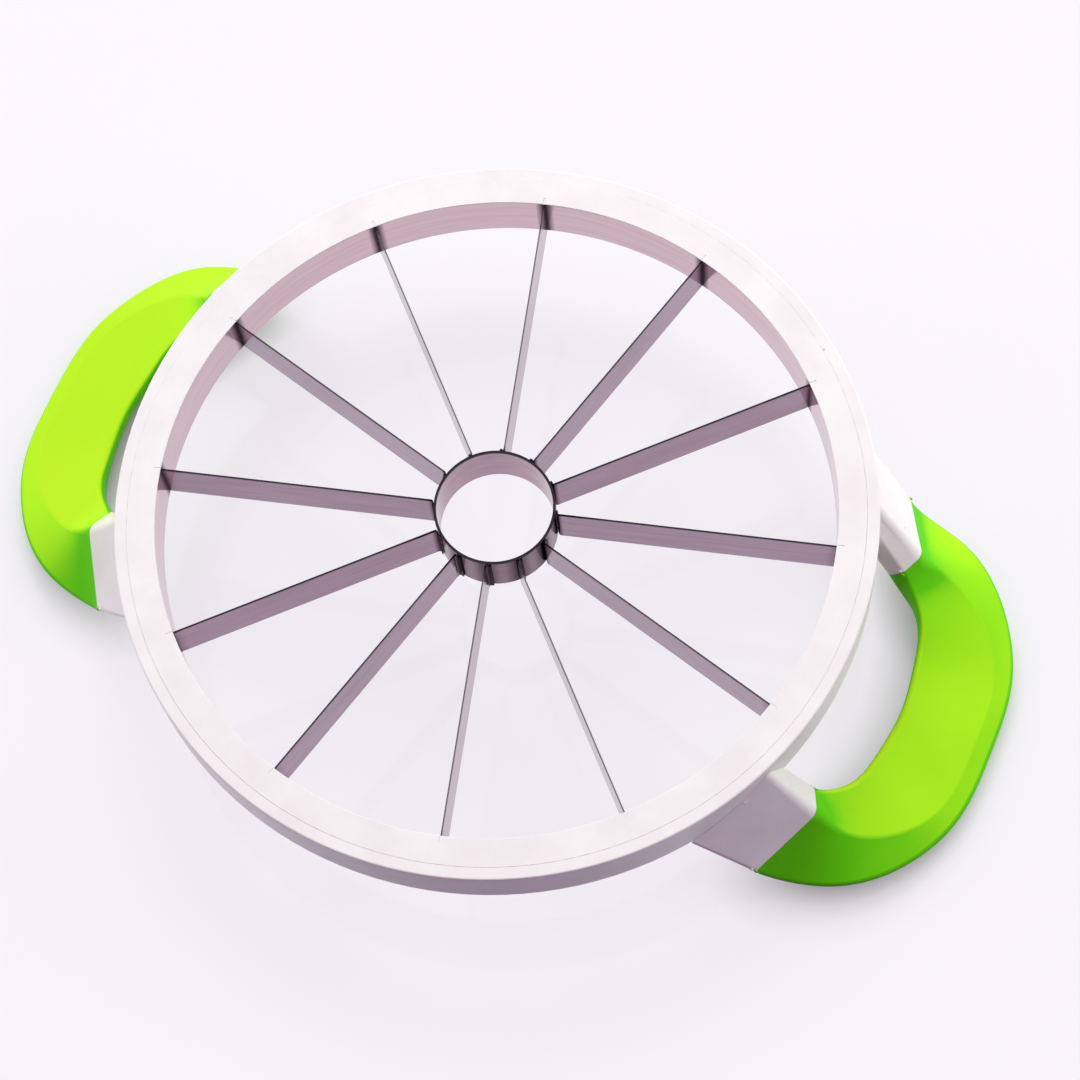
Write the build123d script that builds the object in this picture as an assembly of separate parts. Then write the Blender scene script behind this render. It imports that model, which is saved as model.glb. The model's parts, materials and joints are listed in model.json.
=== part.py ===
from build123d import *
import math
import os

# Melon slicer: a white ring, radial steel blades, a steel core and two bow handles.
# Millimetres. +Z is up, +X runs along the handles, and z = 0 is the table that the grips
# stand on. The blades' cutting edges face up.

# Ring
ring_inner_radius = 125.0
ring_width = 15.0
ring_height = 20.8
ring_top = 69.0
rim_width = 4.6
ring_floor = 2.5
rim_radius = 0.8
under_edge_radius = 0.6

# Cap that closes the ring from above
cap_flange = 2.5
cap_skirt = 2.8
cap_proud = 0.1
cap_lip = 0.3
cap_edge_radius = 0.2
cap_seam_radius = 0.1

# Steel hoop that lines the ring
hoop_thickness = 0.6

# Blades
blade_count = 12
blade_thickness = 0.6
blade_sink = 0.2
blade_lift = 0.4
blade_tab_length = 2.6
blade_tab_height = 8.0
bevel_height = 1.2
bevel_land = 0.16
bend_radius = 1.1
weld_flange_length = 2.0
weld_flange_drop = 1.6

# Steel core ring
core_radius = 22.4
core_wall = 1.0
core_edge_radius = 0.2

# Handles
handle_reach = 57.4
handle_half_width = 78.5
leg_depth = 7.0
bow_inner_depth = 8.0
bow_inner_tuck = 4.5
bow_rim_depth = 10.6
grip_wall = 2.5
rim_edge_radius = 2.2
inner_edge_radius = 2.0
ridge_radius = 5.0
under_radius = 2.6
core_corner_radius = 0.5
collar_length = 2.0

# Tenons that plug the legs into the ring
tenon_width = 12.5
tenon_height = 5.0
tenon_bite = 1.0
tenon_tip_gap = 1.4

# Screws
screw_radius = 1.45
screw_length = 6.2
screw_head_radius = 2.7
screw_head_height = 1.4
cross_width = 0.8
cross_length = 3.0
cross_depth = 0.9
boss_radius = 3.1
ring_screw_count = 6

# Clearances
seat_gap = 0.05
fit_gap = 0.15
seam_gap = 0.15
overrun = 5.0

# Half a handle's three long edges, as shares of the reach past the ring, of the half width
# and of the drop from the ring's top. The legs run straight from root to joint, and the bow
# follows the other places from the joint to its middle.
edge_shares = {
    "inner": {
        "root": (-0.502, 0.666, -0.233),
        "joint": (0.065, 0.577, 0.516),
        "knee": (0.149, 0.526, 0.609),
        "shoulder": (0.247, 0.439, 0.659),
        "turn": (0.321, 0.224, 0.71),
        "middle": (0.351, 0.0, 0.725),
    },
    "ridge": {
        "root": (-0.423, 0.676, -0.27),
        "joint": (0.137, 0.684, 0.5),
        "knee": (0.293, 0.685, 0.641),
        "shoulder": (0.553, 0.613, 0.743),
        "turn": (0.828, 0.358, 0.826),
        "middle": (0.877, 0.0, 0.833),
    },
    "rim": {
        "root": (-0.786, 1.134, 0.013),
        "joint": (-0.102, 1.01, 0.687),
        "knee": (0.365, 0.916, 0.797),
        "shoulder": (0.718, 0.712, 0.841),
        "turn": (0.953, 0.391, 0.87),
        "middle": (1.0, 0.0, 0.877),
    },
}
bow_section_shares = (0.03, 0.08, 0.14, 0.21, 0.28, 0.36, 0.43, 0.5)
tenon_place_share = 0.76

# Sizes that follow from the ones above
ring_outer_radius = ring_inner_radius + ring_width
ring_bottom = ring_top - ring_height
floor_top = ring_bottom + ring_floor
rim_inner_radius = ring_outer_radius - rim_width
hoop_outer_radius = ring_inner_radius + hoop_thickness
skirt_inner_radius = hoop_outer_radius + seat_gap
skirt_outer_radius = skirt_inner_radius + cap_skirt
blade_top = ring_top - blade_sink
blade_bottom = ring_bottom + blade_lift
blade_angle = 360 / blade_count
slot_width = blade_thickness + 2 * seat_gap
channel_middle_radius = (skirt_outer_radius + rim_inner_radius) / 2
tenon_place = tenon_place_share * handle_half_width
tenon_tip_radius = skirt_outer_radius + tenon_tip_gap
outer_radii = (inner_edge_radius, ridge_radius, rim_edge_radius, under_radius, under_radius)
root_radii = [radius / 2 for radius in outer_radii]
core_radii = [core_corner_radius] * len(outer_radii)


def spun(profile):
    return revolve(profile, axis=Axis.Z)


def disc(radius, bottom, top):
    base = (Align.CENTER, Align.CENTER, Align.MIN)
    return Pos(0, 0, bottom) * Cylinder(radius, top - bottom, align=base)


def corner(profile, radius, height):
    return profile.vertices().sort_by_distance((radius, 0, height))[0]


def blade_places():
    return [Rot(0, 0, blade_angle * (i + 0.5)) for i in range(blade_count)]


def ring_screw_places():
    places = [Rot(0, 0, 360 / ring_screw_count * i) for i in range(ring_screw_count)]
    return [turn * Pos(channel_middle_radius, 0, ring_bottom) for turn in places]


def handle_screw_places():
    across = math.sqrt(channel_middle_radius**2 - tenon_place**2)
    return [Pos(sx * across, sy * tenon_place, ring_bottom) for sx in (1, -1) for sy in (1, -1)]


# Screws

def screw():
    head = disc(screw_head_radius, 0, screw_head_height)
    head = chamfer(head.edges().sort_by(Axis.Z)[0], screw_head_height / 4)
    shank = disc(screw_radius, screw_head_height, screw_length)
    shank = chamfer(shank.edges().sort_by(Axis.Z)[-1], screw_radius / 2)
    recess = Box(cross_length, cross_width, 2 * cross_depth)
    recess += Box(cross_width, cross_length, 2 * cross_depth)
    return head + shank - recess


def screw_hole():
    head_room = disc(screw_head_radius + fit_gap, -overrun, screw_head_height)
    pilot = disc(screw_radius + seat_gap, 0, screw_length + fit_gap)
    return head_room + pilot


# Ring body: outer wall and floor, with windows for the legs' tenons

def tenon_block(grow):
    depth = ring_outer_radius
    height = tenon_height + grow
    width = tenon_width + 2 * grow
    block = Box(depth, width, height, align=(Align.MIN, Align.CENTER, Align.MIN))
    return Pos(0, 0, floor_top) * block


def ring_body():
    top = ring_top - cap_proud
    profile = make_face(Polyline(
        (skirt_inner_radius, 0, ring_bottom),
        (ring_outer_radius, 0, ring_bottom),
        (ring_outer_radius, 0, top),
        (rim_inner_radius, 0, top),
        (rim_inner_radius, 0, floor_top),
        (skirt_inner_radius, 0, floor_top),
        close=True,
    ))
    profile = fillet(corner(profile, ring_outer_radius, top), rim_radius)
    profile = fillet(corner(profile, ring_outer_radius, ring_bottom), under_edge_radius)
    body = spun(profile)
    for sx in (1, -1):
        for sy in (1, -1):
            window = Pos(0, sy * tenon_place, 0) * tenon_block(fit_gap)
            body -= Rot(0, 0, 0 if sx > 0 else 180) * window
    for place in ring_screw_places() + handle_screw_places():
        body -= place * screw_hole()
    return body


# Ring cap: top band, skirt behind the hoop and screw bosses

def ring_cap():
    lip = ring_top - cap_lip
    flange_bottom = ring_top - cap_flange
    flange_outer_radius = rim_inner_radius - seat_gap
    profile = make_face(Polyline(
        (ring_inner_radius, 0, ring_top),
        (flange_outer_radius, 0, ring_top),
        (flange_outer_radius, 0, flange_bottom),
        (skirt_outer_radius, 0, flange_bottom),
        (skirt_outer_radius, 0, floor_top),
        (skirt_inner_radius, 0, floor_top),
        (skirt_inner_radius, 0, lip),
        (ring_inner_radius, 0, lip),
        close=True,
    ))
    profile = fillet(corner(profile, ring_inner_radius, ring_top), cap_edge_radius)
    profile = fillet(corner(profile, flange_outer_radius, ring_top), cap_seam_radius)
    cap = spun(profile)
    boss = disc(boss_radius, ring_floor, ring_height - cap_flange)
    for place in ring_screw_places():
        cap += place * boss
    for place in ring_screw_places():
        cap -= place * screw_hole()
    slit_end = ring_inner_radius + blade_tab_length + seat_gap
    slit_bottom = blade_top - blade_tab_height - seat_gap
    slit = Box(
        slit_end, slot_width, ring_top + overrun - slit_bottom,
        align=(Align.MIN, Align.CENTER, Align.MIN),
    )
    for place in blade_places():
        cap -= place * Pos(0, 0, slit_bottom) * slit
    return cap


# Steel hoop with an open slot for each blade's end tab

def blade_hoop():
    top = ring_top - cap_lip
    hoop = disc(hoop_outer_radius, ring_bottom, top) - disc(ring_inner_radius, ring_bottom, top)
    slot_bottom = blade_top - blade_tab_height - seat_gap
    slot = Box(
        ring_outer_radius, slot_width, ring_top - slot_bottom,
        align=(Align.MIN, Align.CENTER, Align.MIN),
    )
    for place in blade_places():
        hoop -= place * Pos(0, 0, slot_bottom) * slot
    return hoop


# Core ring

def core_ring():
    core = disc(core_radius, blade_bottom, blade_top)
    core -= disc(core_radius - core_wall, blade_bottom, blade_top)
    return fillet(core.edges().filter_by(GeomType.CIRCLE), core_edge_radius)


# Blade: a thin sheet, bent at the core into a weld flange, with an end tab in the ring

def blade():
    bend_line = core_radius + seat_gap + blade_thickness / 2
    plate_end = ring_inner_radius - seat_gap
    tab_end = ring_inner_radius + blade_tab_length
    line = FilletPolyline(
        (tab_end, 0), (bend_line, 0), (bend_line, weld_flange_length), radius=bend_radius
    )
    sheet = extrude(trace(line, line_width=blade_thickness), blade_top - blade_bottom)
    sheet = Pos(0, 0, blade_bottom) * sheet
    below_tab = Box(
        overrun, overrun, blade_top - blade_tab_height - blade_bottom,
        align=(Align.MIN, Align.CENTER, Align.MIN),
    )
    sheet -= Pos(plate_end, 0, blade_bottom) * below_tab
    # The weld flange stops below the cutting edge
    over_flange = Box(
        bend_line + blade_thickness / 2, weld_flange_length + overrun, weld_flange_drop + overrun,
        align=(Align.MIN, Align.MIN, Align.MIN),
    )
    sheet -= Pos(0, bend_radius + blade_thickness / 2, blade_top - weld_flange_drop) * over_flange
    # The ground bevel stops at the ring, so the end tab fills its slit
    for side in (1, -1):
        wedge = make_face(Polyline(
            (0, side * bevel_land / 2, blade_top),
            (0, side * blade_thickness / 2, blade_top - bevel_height),
            (0, side * blade_thickness, blade_top - bevel_height),
            (0, side * blade_thickness, blade_top),
            close=True,
        ))
        sheet -= extrude(wedge, amount=plate_end, dir=(1, 0, 0))
    return sheet


# Handles

def edge_point(edge, place, side):
    x, y, drop = edge_shares[edge][place]
    return Vector(
        ring_outer_radius + x * handle_reach, side * y * handle_half_width, ring_top * (1 - drop)
    )


def section_corners(inner, ridge, rim, bow_share):
    # The underside lies below the upper face, at right angles to its width, tucked in at the inner edge
    chord = (rim - inner).normalized()
    across = (ridge - inner) - chord * (ridge - inner).dot(chord)
    under = across.normalized() * -1
    inner_under = inner + under * (leg_depth + bow_share * (bow_inner_depth - leg_depth))
    inner_under += chord * (bow_share * bow_inner_tuck)
    rim_under = rim + under * (leg_depth + bow_share * (bow_rim_depth - leg_depth))
    return [inner, ridge, rim, rim_under, inner_under]


def leg_corners(place, side):
    return section_corners(*[edge_point(edge, place, side) for edge in edge_shares], 0)


def leg_direction(side):
    inner, ridge, rim = leg_corners("joint", side)[:3]
    return (ridge - inner).cross(rim - inner).normalized() * -side


def bow_edge(edge):
    halves = []
    for side in (1, -1):
        points = [edge_point(edge, place, side) for place in edge_shares[edge] if place != "root"]
        collar = points[0] + leg_direction(side) * collar_length
        halves.append([points[0], collar] + points[1:])
    return Spline(*halves[0], *halves[1][-2::-1])


def bow_section(edges, share):
    # A plane across the bow through its inner edge and its rim, and the ridge where it meets it
    inner_edge, ridge_edge, rim_edge = edges
    inner = inner_edge.position_at(share)
    rim = rim_edge.position_at(share)
    chord = (rim - inner).normalized()
    along = inner_edge.tangent_at(share) + rim_edge.tangent_at(share)
    across_bow = Plane(origin=inner, x_dir=chord, z_dir=along - chord * along.dot(chord))
    crossings = ridge_edge.intersect(across_bow).vertices()
    ridge = Vector(crossings.sort_by_distance((inner + rim) / 2)[0])
    return section_corners(inner, ridge, rim, 1 - abs(1 - 2 * share) ** 3)


def bow_corners(end_gap):
    edges = [bow_edge(edge) for edge in edge_shares]
    shares = [*bow_section_shares, *[1 - share for share in bow_section_shares[-2::-1]]]
    joints = [
        [point + leg_direction(side) * end_gap for point in leg_corners("joint", side)]
        for side in (1, -1)
    ]
    return [joints[0], *[bow_section(edges, share) for share in shares], joints[1]]


def inset(corners, distance):
    points = []
    for i, point in enumerate(corners):
        before = (corners[i - 1] - point).normalized()
        after = (corners[(i + 1) % len(corners)] - point).normalized()
        points.append(point + (before + after) * (distance / before.cross(after).length))
    return points


def rounded(corners, radii):
    face = make_face(Polyline(*corners, close=True))
    for point, radius in zip(corners, radii):
        face = fillet(face.vertices().sort_by_distance(point)[0], radius)
    return face


def leg(side):
    joint = rounded(leg_corners("joint", side), outer_radii)
    root = rounded(leg_corners("root", side), root_radii)
    whole = loft([joint, root], ruled=True)
    return whole - disc(ring_outer_radius + seat_gap, -overrun, 2 * ring_top)


def handle():
    core = loft([rounded(inset(c, grip_wall), core_radii) for c in bow_corners(0)])
    sleeve = loft([rounded(c, outer_radii) for c in bow_corners(seam_gap)]) - core
    below_table = Box(
        3 * ring_outer_radius, 3 * ring_outer_radius, overrun,
        align=(Align.CENTER, Align.CENTER, Align.MAX),
    )
    sleeve -= below_table
    frame = core
    reach_in = disc(ring_outer_radius + tenon_bite, 0, ring_top) - disc(tenon_tip_radius, 0, ring_top)
    for side in (1, -1):
        tenon = Pos(0, side * tenon_place, 0) * tenon_block(0) & reach_in
        frame += leg(side) + tenon
    for place in handle_screw_places():
        frame -= place * screw_hole()
    return frame, sleeve


os.makedirs("parts", exist_ok=True)
export_step(ring_body(), "parts/ring_body.step")
export_step(ring_cap(), "parts/ring_cap.step")
export_step(blade_hoop(), "parts/blade_hoop.step")
export_step(core_ring(), "parts/core_ring.step")
one_blade = blade()
for number, place in enumerate(blade_places(), start=1):
    export_step(place * one_blade, f"parts/blade_{number:02d}.step")
frame, sleeve = handle()
for name, turn in (("right", 0), ("left", 180)):
    export_step(Rot(0, 0, turn) * frame, f"parts/handle_frame_{name}.step")
    export_step(Rot(0, 0, turn) * sleeve, f"parts/grip_{name}.step")
one_screw = screw()
export_step(Compound(children=[p * one_screw for p in ring_screw_places()]), "parts/ring_screws.step")
export_step(Compound(children=[p * one_screw for p in handle_screw_places()]), "parts/handle_screws.step")
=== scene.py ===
import json
import math
import bmesh
import bpy
from mathutils import Matrix, Vector


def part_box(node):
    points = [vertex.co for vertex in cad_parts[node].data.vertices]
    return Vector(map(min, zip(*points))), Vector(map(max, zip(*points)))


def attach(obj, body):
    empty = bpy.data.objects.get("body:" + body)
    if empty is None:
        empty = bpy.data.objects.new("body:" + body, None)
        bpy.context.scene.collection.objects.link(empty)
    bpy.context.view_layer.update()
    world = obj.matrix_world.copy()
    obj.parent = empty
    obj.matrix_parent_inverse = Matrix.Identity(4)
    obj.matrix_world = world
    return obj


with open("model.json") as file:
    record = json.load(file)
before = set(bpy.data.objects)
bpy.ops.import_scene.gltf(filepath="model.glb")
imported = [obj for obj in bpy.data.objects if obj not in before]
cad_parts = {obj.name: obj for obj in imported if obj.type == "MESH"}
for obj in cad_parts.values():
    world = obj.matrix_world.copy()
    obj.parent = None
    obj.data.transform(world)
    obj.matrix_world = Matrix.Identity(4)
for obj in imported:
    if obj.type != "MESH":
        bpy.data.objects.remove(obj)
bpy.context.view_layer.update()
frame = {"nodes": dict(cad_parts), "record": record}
nodes = frame["nodes"]
print("frame loaded with", len(nodes), "nodes")

mm = 0.001


def linear(hexColour):
    channels = [int(hexColour[i:i + 2], 16) / 255 for i in (1, 3, 5)]
    return [c / 12.92 if c <= 0.04045 else ((c + 0.055) / 1.055) ** 2.4 for c in channels] + [1.0]


def perMetre(sizeMm):
    # texture scale that gives one feature every sizeMm
    return 1 / (sizeMm * mm)


def addNode(tree, kind, settings, sockets):
    node = tree.nodes.new(kind)
    for name, value in settings.items():
        setattr(node, name, value)
    for name, value in sockets.items():
        if isinstance(value, bpy.types.NodeSocket):
            tree.links.new(value, node.inputs[name])
        else:
            node.inputs[name].default_value = value
    return node


def newMaterial(name):
    material = bpy.data.materials.new(name)
    material.use_nodes = True
    material.node_tree.nodes.clear()
    return material, material.node_tree


def twoTone(tree, value, span, lowHex, highHex):
    # colour that goes from one tone to the other as the value crosses the span
    share = addNode(tree, "ShaderNodeMapRange", {}, {
        "Value": value, "From Min": span[0], "From Max": span[1]})
    return addNode(tree, "ShaderNodeMix", {"data_type": "RGBA"}, {
        0: share.outputs["Result"], 6: linear(lowHex), 7: linear(highHex)}).outputs[2]


# Injection-moulded ABS: warm white, glossy, with a faint flow mottle and a slight orange peel
absLook = {"pale": "#f8f3f2", "deep": "#f1eaeb", "ior": 1.53, "sheen": 0.3, "gloss": 0.24, "dull": 0.36,
           "mottleMm": 22, "mottleDetail": 4.0, "mottleRough": 0.6, "mottleSpan": (0.35, 0.7),
           "peelMm": 1.4, "peelDetail": 2.0, "peelDepthMm": 0.02, "peelStrength": 0.25,
           "speck": "#8c7a72", "speckMm": 26, "speckSpan": (0.012, 0.024), "speckShare": 0.7}


def glossyWhiteAbs():
    material, tree = newMaterial("injectionMouldedWhiteAbs")
    place = addNode(tree, "ShaderNodeTexCoord", {}, {}).outputs["Object"]
    mottle = addNode(tree, "ShaderNodeTexNoise", {}, {
        "Vector": place, "Scale": perMetre(absLook["mottleMm"]), "Detail": absLook["mottleDetail"],
        "Roughness": absLook["mottleRough"]})
    peel = addNode(tree, "ShaderNodeTexNoise", {}, {
        "Vector": place, "Scale": perMetre(absLook["peelMm"]), "Detail": absLook["peelDetail"]})
    tone = twoTone(tree, mottle.outputs["Fac"], absLook["mottleSpan"], absLook["pale"], absLook["deep"])
    # stray dark specks of burnt resin, far apart
    grit = addNode(tree, "ShaderNodeTexVoronoi", {}, {
        "Vector": place, "Scale": perMetre(absLook["speckMm"])})
    dotted = addNode(tree, "ShaderNodeMapRange", {}, {
        "Value": grit.outputs["Distance"], "From Min": absLook["speckSpan"][0],
        "From Max": absLook["speckSpan"][1], "To Min": absLook["speckShare"], "To Max": 0.0})
    specked = addNode(tree, "ShaderNodeMix", {"data_type": "RGBA"}, {
        0: dotted.outputs["Result"], 6: tone, 7: linear(absLook["speck"])})
    polish = addNode(tree, "ShaderNodeMapRange", {}, {
        "Value": mottle.outputs["Fac"], "To Min": absLook["gloss"], "To Max": absLook["dull"]})
    relief = addNode(tree, "ShaderNodeBump", {}, {
        "Height": peel.outputs["Fac"], "Strength": absLook["peelStrength"],
        "Distance": absLook["peelDepthMm"] * mm})
    shader = addNode(tree, "ShaderNodeBsdfPrincipled", {}, {
        "Base Color": specked.outputs[2], "Roughness": polish.outputs["Result"], "IOR": absLook["ior"],
        "Specular IOR Level": absLook["sheen"], "Normal": relief.outputs["Normal"]})
    addNode(tree, "ShaderNodeOutputMaterial", {}, {"Surface": shader.outputs["BSDF"]})
    return material


# Soft-touch TPE moulded over the bow: lime green, satin, with a fine spark-eroded grain.
# Painted light: the skin is yellower where it faces a fixed light direction and deeper green down the
# sides, where shade falls.
# bright is the painted lit crest, deep the painted shade down the sides
tpeLook = {"bright": "#bcec20", "middle": "#b2f41c", "deep": "#60d00a", "paintedLightAxis": (-0.22, 0.28, 0.93),
           "paintedShadeSpan": (0.66, 0.91), "paintedLitSpan": (0.91, 1.01), "ior": 1.5, "sheen": 0.12,
           "satin": 0.46, "dull": 0.58, "mottleMm": 35, "mottleShare": 0.08, "detail": 3.0,
           "grainMm": 0.9, "grainDepthMm": 0.04, "grainStrength": 0.3}


def limeTpe():
    material, tree = newMaterial("softTouchLimeTpe")
    place = addNode(tree, "ShaderNodeTexCoord", {}, {}).outputs["Object"]
    mottle = addNode(tree, "ShaderNodeTexNoise", {}, {
        "Vector": place, "Scale": perMetre(tpeLook["mottleMm"]), "Detail": tpeLook["detail"]})
    # real grain is about 0.2 mm, drawn coarser so that it shows
    grain = addNode(tree, "ShaderNodeTexNoise", {}, {
        "Vector": place, "Scale": perMetre(tpeLook["grainMm"]), "Detail": tpeLook["detail"]})
    # painted light: the tone follows how the skin faces a fixed light direction, lit tops yellow and shaded
    # sides deep green
    facing = addNode(tree, "ShaderNodeNewGeometry", {}, {}).outputs["Normal"]
    litFacing = addNode(tree, "ShaderNodeVectorMath", {"operation": "DOT_PRODUCT"}, {
        0: facing, 1: tpeLook["paintedLightAxis"]}).outputs["Value"]
    mottledLitFacing = addNode(tree, "ShaderNodeMath", {"operation": "MULTIPLY_ADD"}, {
        0: mottle.outputs["Fac"], 1: tpeLook["mottleShare"], 2: litFacing}).outputs[0]
    green = twoTone(tree, mottledLitFacing, tpeLook["paintedShadeSpan"], tpeLook["deep"], tpeLook["middle"])
    paintedLitCrest = addNode(tree, "ShaderNodeMapRange", {}, {
        "Value": mottledLitFacing, "From Min": tpeLook["paintedLitSpan"][0], "From Max": tpeLook["paintedLitSpan"][1]})
    tone = addNode(tree, "ShaderNodeMix", {"data_type": "RGBA"}, {
        0: paintedLitCrest.outputs["Result"], 6: green, 7: linear(tpeLook["bright"])}).outputs[2]
    polish = addNode(tree, "ShaderNodeMapRange", {}, {
        "Value": grain.outputs["Fac"], "To Min": tpeLook["satin"], "To Max": tpeLook["dull"]})
    relief = addNode(tree, "ShaderNodeBump", {}, {
        "Height": grain.outputs["Fac"], "Strength": tpeLook["grainStrength"],
        "Distance": tpeLook["grainDepthMm"] * mm})
    shader = addNode(tree, "ShaderNodeBsdfPrincipled", {}, {
        "Base Color": tone, "Roughness": polish.outputs["Result"], "IOR": tpeLook["ior"],
        "Specular IOR Level": tpeLook["sheen"], "Normal": relief.outputs["Normal"]})
    addNode(tree, "ShaderNodeOutputMaterial", {}, {"Surface": shader.outputs["BSDF"]})
    return material


# Cold-rolled stainless strip: near-mirror with faint rolling streaks along its length, mauve-grey
# face on, where the mauve is a painted reflection of violet surroundings; a dark heat tint beside the welds
# that also carries painted shade for the dark corners there; and a dark ground edge on top.
# A strip's three scales are for the distance out, the turn about the axis and the height.
bladeCount = 12
bladeTurn = 2 * math.pi / bladeCount
hoopRadius = 125 * mm
coreRadius = 22.4 * mm
# the mauve in these face colours is a painted reflection of violet surroundings; plain stainless is more
# neutral
bladeSteel = {"name": "temperedStainlessBlade", "face": "#9c8096", "streaked": "#90768a",
              "strip": (perMetre(34), 7.0, perMetre(1.6)), "mirror": 0.1, "hazy": 0.2,
              "edge": "#322a30", "edgeMm": 0.9, "edgeFadeMm": 0.1, "top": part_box("blade_01")[1][2],
              "tintAndShadeColour": "#2e2629", "shine": "#bcb6b8", "tintAndShade": 0.95, "weldMm": 1.8, "weldRadius": 23.1 * mm,
              "ringTintAndShade": 0.3, "ringMm": 3.5, "ringRadius": hoopRadius, "tab": "#ffffff"}
hoopSteel = {"name": "brightAnnealedHoop", "face": "#d6bcc4", "streaked": "#ceb4bc",
             "strip": (0.0, hoopRadius * perMetre(40), perMetre(2.2)), "mirror": 0.1, "hazy": 0.22,
             "tintAndShadeColour": "#30282c", "shine": "#dcd6d8", "tintAndShade": 0.95, "restTintAndShade": 0.0, "weldMm": 3.4,
             "weldSide": "LESS_THAN", "weldShiftMm": 0.3, "bend": hoopRadius}
coreSteel = {"name": "brightAnnealedCore", "face": "#a88a98", "streaked": "#9e8090",
             "strip": (0.0, coreRadius * perMetre(18), perMetre(2.2)), "mirror": 0.1, "hazy": 0.22,
             "edge": "#3a3238", "edgeMm": 0.7, "edgeFadeMm": 0.1, "top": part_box("core_ring")[1][2],
             "tintAndShadeColour": "#3c3038", "shine": "#dcd6d8", "tintAndShade": 0.97, "restTintAndShade": 0.45, "weldMm": 5.0,
             "weldSide": "GREATER_THAN", "weldShiftMm": -0.3, "bend": coreRadius}
streakDetail = 3.0
streakSpan = (0.38, 0.68)
fullTintAndShadeShare = 0.25  # of a weld's reach along a bent strip


def bentStripTintAndShade(tree, look, outward, around):
    # welds sit at every blade's turn, and only the side that carries the blades is darkened, by heat tint
    # and by painted shade for the dark corners; where a rest share is given, the rest of that side keeps it
    # as painted shade
    reach = look["weldMm"] * mm / look["bend"]
    gap = addNode(tree, "ShaderNodeMath", {"operation": "SUBTRACT"}, {0: around, 1: bladeTurn / 2})
    near = addNode(tree, "ShaderNodeMath", {"operation": "PINGPONG"}, {
        0: gap.outputs[0], 1: bladeTurn / 2})
    tintAndShade = addNode(tree, "ShaderNodeMapRange", {}, {
        "Value": near.outputs[0], "From Min": fullTintAndShadeShare * reach, "From Max": reach,
        "To Min": look["tintAndShade"], "To Max": look["restTintAndShade"]})
    side = addNode(tree, "ShaderNodeMath", {"operation": look["weldSide"]}, {
        0: outward, 1: look["bend"] + look["weldShiftMm"] * mm})
    return addNode(tree, "ShaderNodeMath", {"operation": "MULTIPLY"}, {
        0: tintAndShade.outputs["Result"], 1: side.outputs[0]}).outputs[0]


def bladeTintAndShade(tree, look, outward):
    # a blade is darkened at its weld to the core and a little where it meets the hoop, by heat tint and
    # painted shade in those corners
    inner = addNode(tree, "ShaderNodeMapRange", {}, {
        "Value": outward, "From Min": look["weldRadius"],
        "From Max": look["weldRadius"] + look["weldMm"] * mm, "To Min": look["tintAndShade"], "To Max": 0.0})
    outer = addNode(tree, "ShaderNodeMapRange", {}, {
        "Value": outward, "From Min": look["ringRadius"] - look["ringMm"] * mm,
        "From Max": look["ringRadius"], "To Min": 0.0, "To Max": look["ringTintAndShade"]})
    return addNode(tree, "ShaderNodeMath", {"operation": "MAXIMUM"}, {
        0: inner.outputs["Result"], 1: outer.outputs["Result"]}).outputs[0]


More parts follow.
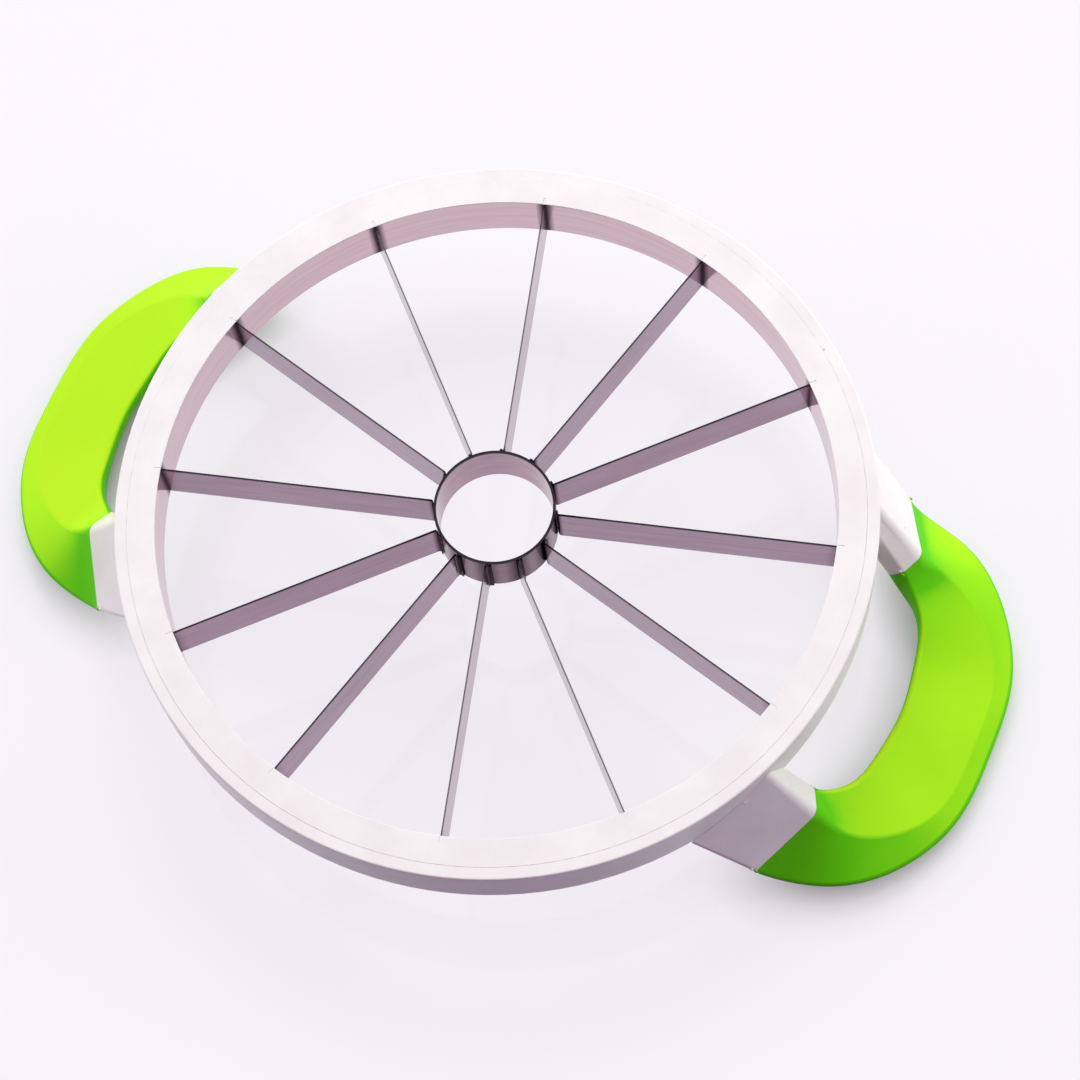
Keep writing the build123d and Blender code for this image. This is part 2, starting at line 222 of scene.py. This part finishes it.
def stripSteel(look):
    material, tree = newMaterial(look["name"])
    place = addNode(tree, "ShaderNodeTexCoord", {}, {}).outputs["Object"]
    axes = addNode(tree, "ShaderNodeSeparateXYZ", {}, {"Vector": place})
    flat = addNode(tree, "ShaderNodeCombineXYZ", {}, {"X": axes.outputs["X"], "Y": axes.outputs["Y"]})
    outward = addNode(tree, "ShaderNodeVectorMath", {"operation": "LENGTH"}, {
        0: flat.outputs[0]}).outputs["Value"]
    around = addNode(tree, "ShaderNodeMath", {"operation": "ARCTAN2"}, {
        0: axes.outputs["Y"], 1: axes.outputs["X"]}).outputs[0]
    along = addNode(tree, "ShaderNodeCombineXYZ", {}, {"X": outward, "Y": around, "Z": axes.outputs["Z"]})
    scaled = addNode(tree, "ShaderNodeVectorMath", {"operation": "MULTIPLY"}, {
        0: along.outputs[0], 1: look["strip"]})
    # rolling streaks are about 0.1 mm, drawn coarser so that they show
    streaks = addNode(tree, "ShaderNodeTexNoise", {}, {
        "Vector": scaled.outputs[0], "Scale": 1.0, "Detail": streakDetail}).outputs["Fac"]
    tone = twoTone(tree, streaks, streakSpan, look["face"], look["streaked"])
    polish = addNode(tree, "ShaderNodeMapRange", {}, {
        "Value": streaks, "To Min": look["mirror"], "To Max": look["hazy"]})
    if "bend" in look:
        tintAndShade = bentStripTintAndShade(tree, look, outward, around)
    else:
        tintAndShade = bladeTintAndShade(tree, look, outward)
    # painted shade: the dark corners at the welds are mixed into the colour together with the heat tint
    tone = addNode(tree, "ShaderNodeMix", {"data_type": "RGBA"}, {
        0: tintAndShade, 6: tone, 7: linear(look["tintAndShadeColour"])}).outputs[2]
    # the heat tint and the painted shade dull the reflection at shallow angles too
    shine = twoTone(tree, tintAndShade, (0.0, 1.0), "#ffffff", look["shine"])
    if "edge" in look:
        edgeFoot = look["top"] - look["edgeMm"] * mm
        ground = addNode(tree, "ShaderNodeMapRange", {}, {
            "Value": axes.outputs["Z"], "From Min": edgeFoot - look["edgeFadeMm"] * mm,
            "From Max": edgeFoot})
        tone = addNode(tree, "ShaderNodeMix", {"data_type": "RGBA"}, {
            0: ground.outputs["Result"], 6: tone, 7: linear(look["edge"])}).outputs[2]
    if "tab" in look:
        # the end tab in the ring has a pale colour of its own, over the ground edge, the heat tint and the
        # painted shade
        outside = addNode(tree, "ShaderNodeMath", {"operation": "GREATER_THAN"}, {
            0: outward, 1: look["ringRadius"]})
        tone = addNode(tree, "ShaderNodeMix", {"data_type": "RGBA"}, {
            0: outside.outputs[0], 6: tone, 7: linear(look["tab"])}).outputs[2]
    shader = addNode(tree, "ShaderNodeBsdfPrincipled", {}, {
        "Base Color": tone, "Metallic": 1.0, "Roughness": polish.outputs["Result"], "Specular Tint": shine})
    addNode(tree, "ShaderNodeOutputMaterial", {}, {"Surface": shader.outputs["BSDF"]})
    return material


# Zinc-plated screw steel: pale, slightly blue, a little dull
screwLook = {"zinc": "#b9bcc0", "spot": "#9ea3aa", "spotMm": 1.6, "spotSpan": (0.35, 0.65),
             "detail": 3.0, "dull": 0.34}


def zincSteel():
    material, tree = newMaterial("zincPlatedScrewSteel")
    place = addNode(tree, "ShaderNodeTexCoord", {}, {}).outputs["Object"]
    spots = addNode(tree, "ShaderNodeTexNoise", {}, {
        "Vector": place, "Scale": perMetre(screwLook["spotMm"]), "Detail": screwLook["detail"]})
    tone = twoTone(tree, spots.outputs["Fac"], screwLook["spotSpan"], screwLook["zinc"], screwLook["spot"])
    shader = addNode(tree, "ShaderNodeBsdfPrincipled", {}, {
        "Base Color": tone, "Metallic": 1.0, "Roughness": screwLook["dull"]})
    addNode(tree, "ShaderNodeOutputMaterial", {}, {"Surface": shader.outputs["BSDF"]})
    return material


finishes = {"white_abs": glossyWhiteAbs(), "green_tpe": limeTpe(),
            "polished_steel": stripSteel(bladeSteel), "screw_steel": zincSteel()}
for part in frame["record"]["subparts"]:
    nodes[part["node"]].material_slots[0].material = finishes[part["material_slot"]]
nodes["blade_hoop"].material_slots[0].material = stripSteel(hoopSteel)
nodes["core_ring"].material_slots[0].material = stripSteel(coreSteel)
print("finishes given to the nodes")


# Moulding flash where a sleeve meets a leg: small nubs of both plastics at the joint's lower corners,
# outer corner first. The places, in mm, are for one joint and are mirrored to the other three.
legFlash = {"name": "legFlash", "slot": "white_abs", "places": ((132.7, 79.0, 23.3), (142.2, 45.0, 33.9)),
            "halfSize": (0.8, 0.5, 0.6)}
sleeveFlash = {"name": "sleeveFlash", "slot": "green_tpe",
               "places": ((134.5, 78.7, 21.4), (143.6, 44.7, 31.6)), "halfSize": (0.9, 0.5, 0.9)}


def mouldFlash(look):
    mesh = bpy.data.meshes.new(look["name"])
    shape = bmesh.new()
    size = Matrix.Diagonal([half * mm for half in look["halfSize"]] + [1.0])
    for sideX in (1, -1):
        for sideY in (1, -1):
            for x, y, z in look["places"]:
                place = Matrix.Translation((sideX * x * mm, sideY * y * mm, z * mm))
                bmesh.ops.create_icosphere(shape, subdivisions=2, radius=1.0, matrix=place @ size)
    for face in shape.faces:
        face.smooth = True
    shape.to_mesh(mesh)
    shape.free()
    piece = bpy.data.objects.new(look["name"], mesh)
    bpy.context.scene.collection.objects.link(piece)
    mesh.materials.append(finishes[look["slot"]])
    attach(piece, "root")


mouldFlash(legFlash)
mouldFlash(sleeveFlash)
print("moulding flash added")


# Floor, studio light and camera. The light axis is level and points roughly away from the camera.
lightAxis = (-0.4, 0.91, 0.0)
floorLook = {"paper": "#f2edf3", "glow": "#fdfaff", "glowShare": 0.75, "contactMm": 22, "contactFade": 0.35,
             "contactSamples": 4, "frontBounce": "#48205a", "backBounce": "#d6ced0",
             "bounceSpan": (-0.17, -0.04), "glazeRoughness": 0.04, "glazeIor": 1.5, "halfSize": 3.0}


def seenRays(tree):
    # 1 for what is seen, straight, mirrored or through a thing, 0 for the light that falls on things
    rays = addNode(tree, "ShaderNodeLightPath", {}, {})
    seen = addNode(tree, "ShaderNodeMath", {"operation": "MAXIMUM"}, {
        0: rays.outputs["Is Camera Ray"], 1: rays.outputs["Is Glossy Ray"]})
    return addNode(tree, "ShaderNodeMath", {"operation": "MAXIMUM"}, {
        0: seen.outputs[0], 1: rays.outputs["Is Transmission Ray"]}).outputs[0]


def studioFloor():
    mesh = bpy.data.meshes.new("studioFloor")
    shape = bmesh.new()
    bmesh.ops.create_grid(shape, x_segments=2, y_segments=2, size=floorLook["halfSize"])
    shape.to_mesh(mesh)
    shape.free()
    floor = bpy.data.objects.new("studioFloor", mesh)
    bpy.context.scene.collection.objects.link(floor)
    material, tree = newMaterial("paleStudioPaper")
    paper = addNode(tree, "ShaderNodeBsdfDiffuse", {}, {"Color": linear(floorLook["paper"])})
    glow = addNode(tree, "ShaderNodeEmission", {}, {"Color": linear(floorLook["glow"]), "Strength": 1.0})
    # the pale glow fades close to what stands on the table, so contact shadows stay
    nearby = addNode(tree, "ShaderNodeAmbientOcclusion", {"samples": floorLook["contactSamples"]}, {
        "Distance": floorLook["contactMm"] * mm})
    fade = addNode(tree, "ShaderNodeMapRange", {}, {
        "Value": nearby.outputs["AO"], "From Min": floorLook["contactFade"],
        "To Max": floorLook["glowShare"]})
    pale = addNode(tree, "ShaderNodeMixShader", {}, {
        0: fade.outputs["Result"], 1: paper.outputs[0], 2: glow.outputs[0]})
    # the table is glazed, so it mirrors the blades and the ring very faintly
    glaze = addNode(tree, "ShaderNodeBsdfGlossy", {}, {"Roughness": floorLook["glazeRoughness"]})
    sheen = addNode(tree, "ShaderNodeFresnel", {}, {"IOR": floorLook["glazeIor"]})
    glazed = addNode(tree, "ShaderNodeMixShader", {}, {
        0: sheen.outputs[0], 1: pale.outputs[0], 2: glaze.outputs[0]})
    # light that the floor throws back is pale behind the object and dim on the side of the camera
    spot = addNode(tree, "ShaderNodeTexCoord", {}, {}).outputs["Object"]
    behind = addNode(tree, "ShaderNodeVectorMath", {"operation": "DOT_PRODUCT"}, {0: spot, 1: lightAxis})
    share = addNode(tree, "ShaderNodeMapRange", {"interpolation_type": "SMOOTHSTEP"}, {
        "Value": behind.outputs["Value"], "From Min": floorLook["bounceSpan"][0],
        "From Max": floorLook["bounceSpan"][1]})
    thrown = addNode(tree, "ShaderNodeMix", {"data_type": "RGBA"}, {
        0: share.outputs["Result"], 6: linear(floorLook["frontBounce"]),
        7: linear(floorLook["backBounce"])})
    bounce = addNode(tree, "ShaderNodeBsdfDiffuse", {}, {"Color": thrown.outputs[2]})
    both = addNode(tree, "ShaderNodeMixShader", {}, {
        0: seenRays(tree), 1: bounce.outputs[0], 2: glazed.outputs[0]})
    addNode(tree, "ShaderNodeOutputMaterial", {}, {"Surface": both.outputs[0]})
    mesh.materials.append(material)


# A wide soft tent, bright but for a dim violet part on the side of the camera
tentLook = {"backdrop": "#f8f6f9", "bright": "#f7fbf9", "brightStrength": 0.91,
            "dim": "#c040c0", "dimStrength": 0.25, "dimSpan": (-0.85, 0.0)}


def studioWorld():
    world = bpy.data.worlds.new("studioWorld")
    bpy.context.scene.world = world
    world.use_nodes = True
    tree = world.node_tree
    tree.nodes.clear()
    way = addNode(tree, "ShaderNodeTexCoord", {}, {}).outputs["Generated"]
    level = addNode(tree, "ShaderNodeVectorMath", {"operation": "MULTIPLY"}, {0: way, 1: (1, 1, 0)})
    bearing = addNode(tree, "ShaderNodeVectorMath", {"operation": "NORMALIZE"}, {0: level.outputs[0]})
    behind = addNode(tree, "ShaderNodeVectorMath", {"operation": "DOT_PRODUCT"}, {
        0: bearing.outputs[0], 1: lightAxis})
    share = addNode(tree, "ShaderNodeMapRange", {"interpolation_type": "SMOOTHSTEP"}, {
        "Value": behind.outputs["Value"], "From Min": tentLook["dimSpan"][0],
        "From Max": tentLook["dimSpan"][1]})
    bright = addNode(tree, "ShaderNodeBackground", {}, {
        "Color": linear(tentLook["bright"]), "Strength": tentLook["brightStrength"]})
    dim = addNode(tree, "ShaderNodeBackground", {}, {
        "Color": linear(tentLook["dim"]), "Strength": tentLook["dimStrength"]})
    light = addNode(tree, "ShaderNodeMixShader", {}, {
        0: share.outputs["Result"], 1: dim.outputs[0], 2: bright.outputs[0]})
    backdrop = addNode(tree, "ShaderNodeBackground", {}, {
        "Color": linear(tentLook["backdrop"]), "Strength": 1.0})
    both = addNode(tree, "ShaderNodeMixShader", {}, {
        0: seenRays(tree), 1: light.outputs[0], 2: backdrop.outputs[0]})
    addNode(tree, "ShaderNodeOutputWorld", {}, {"Surface": both.outputs[0]})


# One high softbox behind the object and a low one on each side, in metres and watts
softboxes = (
    {"name": "backSoftbox", "place": (-0.45, 1.0, 1.55), "target": (0, 0, 0),
     "size": (1.0, 0.8), "watts": 12.8},
    {"name": "rightSoftbox", "place": (0.99, 0.46, 0.51), "target": (0.1, 0, 0.05),
     "size": (0.6, 0.5), "watts": 4.2},
    {"name": "leftSoftbox", "place": (-1.05, -0.3, 0.51), "target": (-0.1, 0, 0.05),
     "size": (0.6, 0.5), "watts": 2.6})


def softbox(look):
    lamp = bpy.data.lights.new(look["name"], "AREA")
    lamp.shape = "RECTANGLE"
    lamp.size, lamp.size_y = look["size"]
    lamp.energy = look["watts"]
    lamp.color = linear(tentLook["bright"])[:3]
    holder = bpy.data.objects.new(look["name"], lamp)
    holder.visible_glossy = False  # gloss shows the even backdrop, with no hot spot
    aim = Vector(look["target"]) - Vector(look["place"])
    turn = aim.to_track_quat("-Z", "Y").to_matrix().to_4x4()
    holder.matrix_world = Matrix.Translation(look["place"]) @ turn
    bpy.context.scene.collection.objects.link(holder)


cameraPlace = {"stand": (0.22386, -0.33566, 1.03765), "right": (0.91670736, 0.39537232, -0.05769185),
               "down": (0.34885369, -0.86238304, -0.36687409),
               "forward": (-0.19480433, 0.31619017, -0.92847997),
               "lensMm": 95.91, "sensorMm": 36.0, "nearestMm": 10}


def photoCamera():
    data = bpy.data.cameras.new("photoCamera")
    data.sensor_width = cameraPlace["sensorMm"]
    data.lens = cameraPlace["lensMm"]
    data.clip_start = cameraPlace["nearestMm"] * mm
    holder = bpy.data.objects.new("photoCamera", data)
    columns = [Vector(cameraPlace["right"]), -Vector(cameraPlace["down"]), -Vector(cameraPlace["forward"])]
    turn = Matrix(columns).transposed().to_4x4()
    holder.matrix_world = Matrix.Translation(cameraPlace["stand"]) @ turn
    bpy.context.scene.collection.objects.link(holder)
    bpy.context.scene.camera = holder


studioFloor()
studioWorld()
for box in softboxes:
    softbox(box)
photoCamera()
bpy.context.scene.view_settings.view_transform = "Standard"
print("stage, light and camera set")
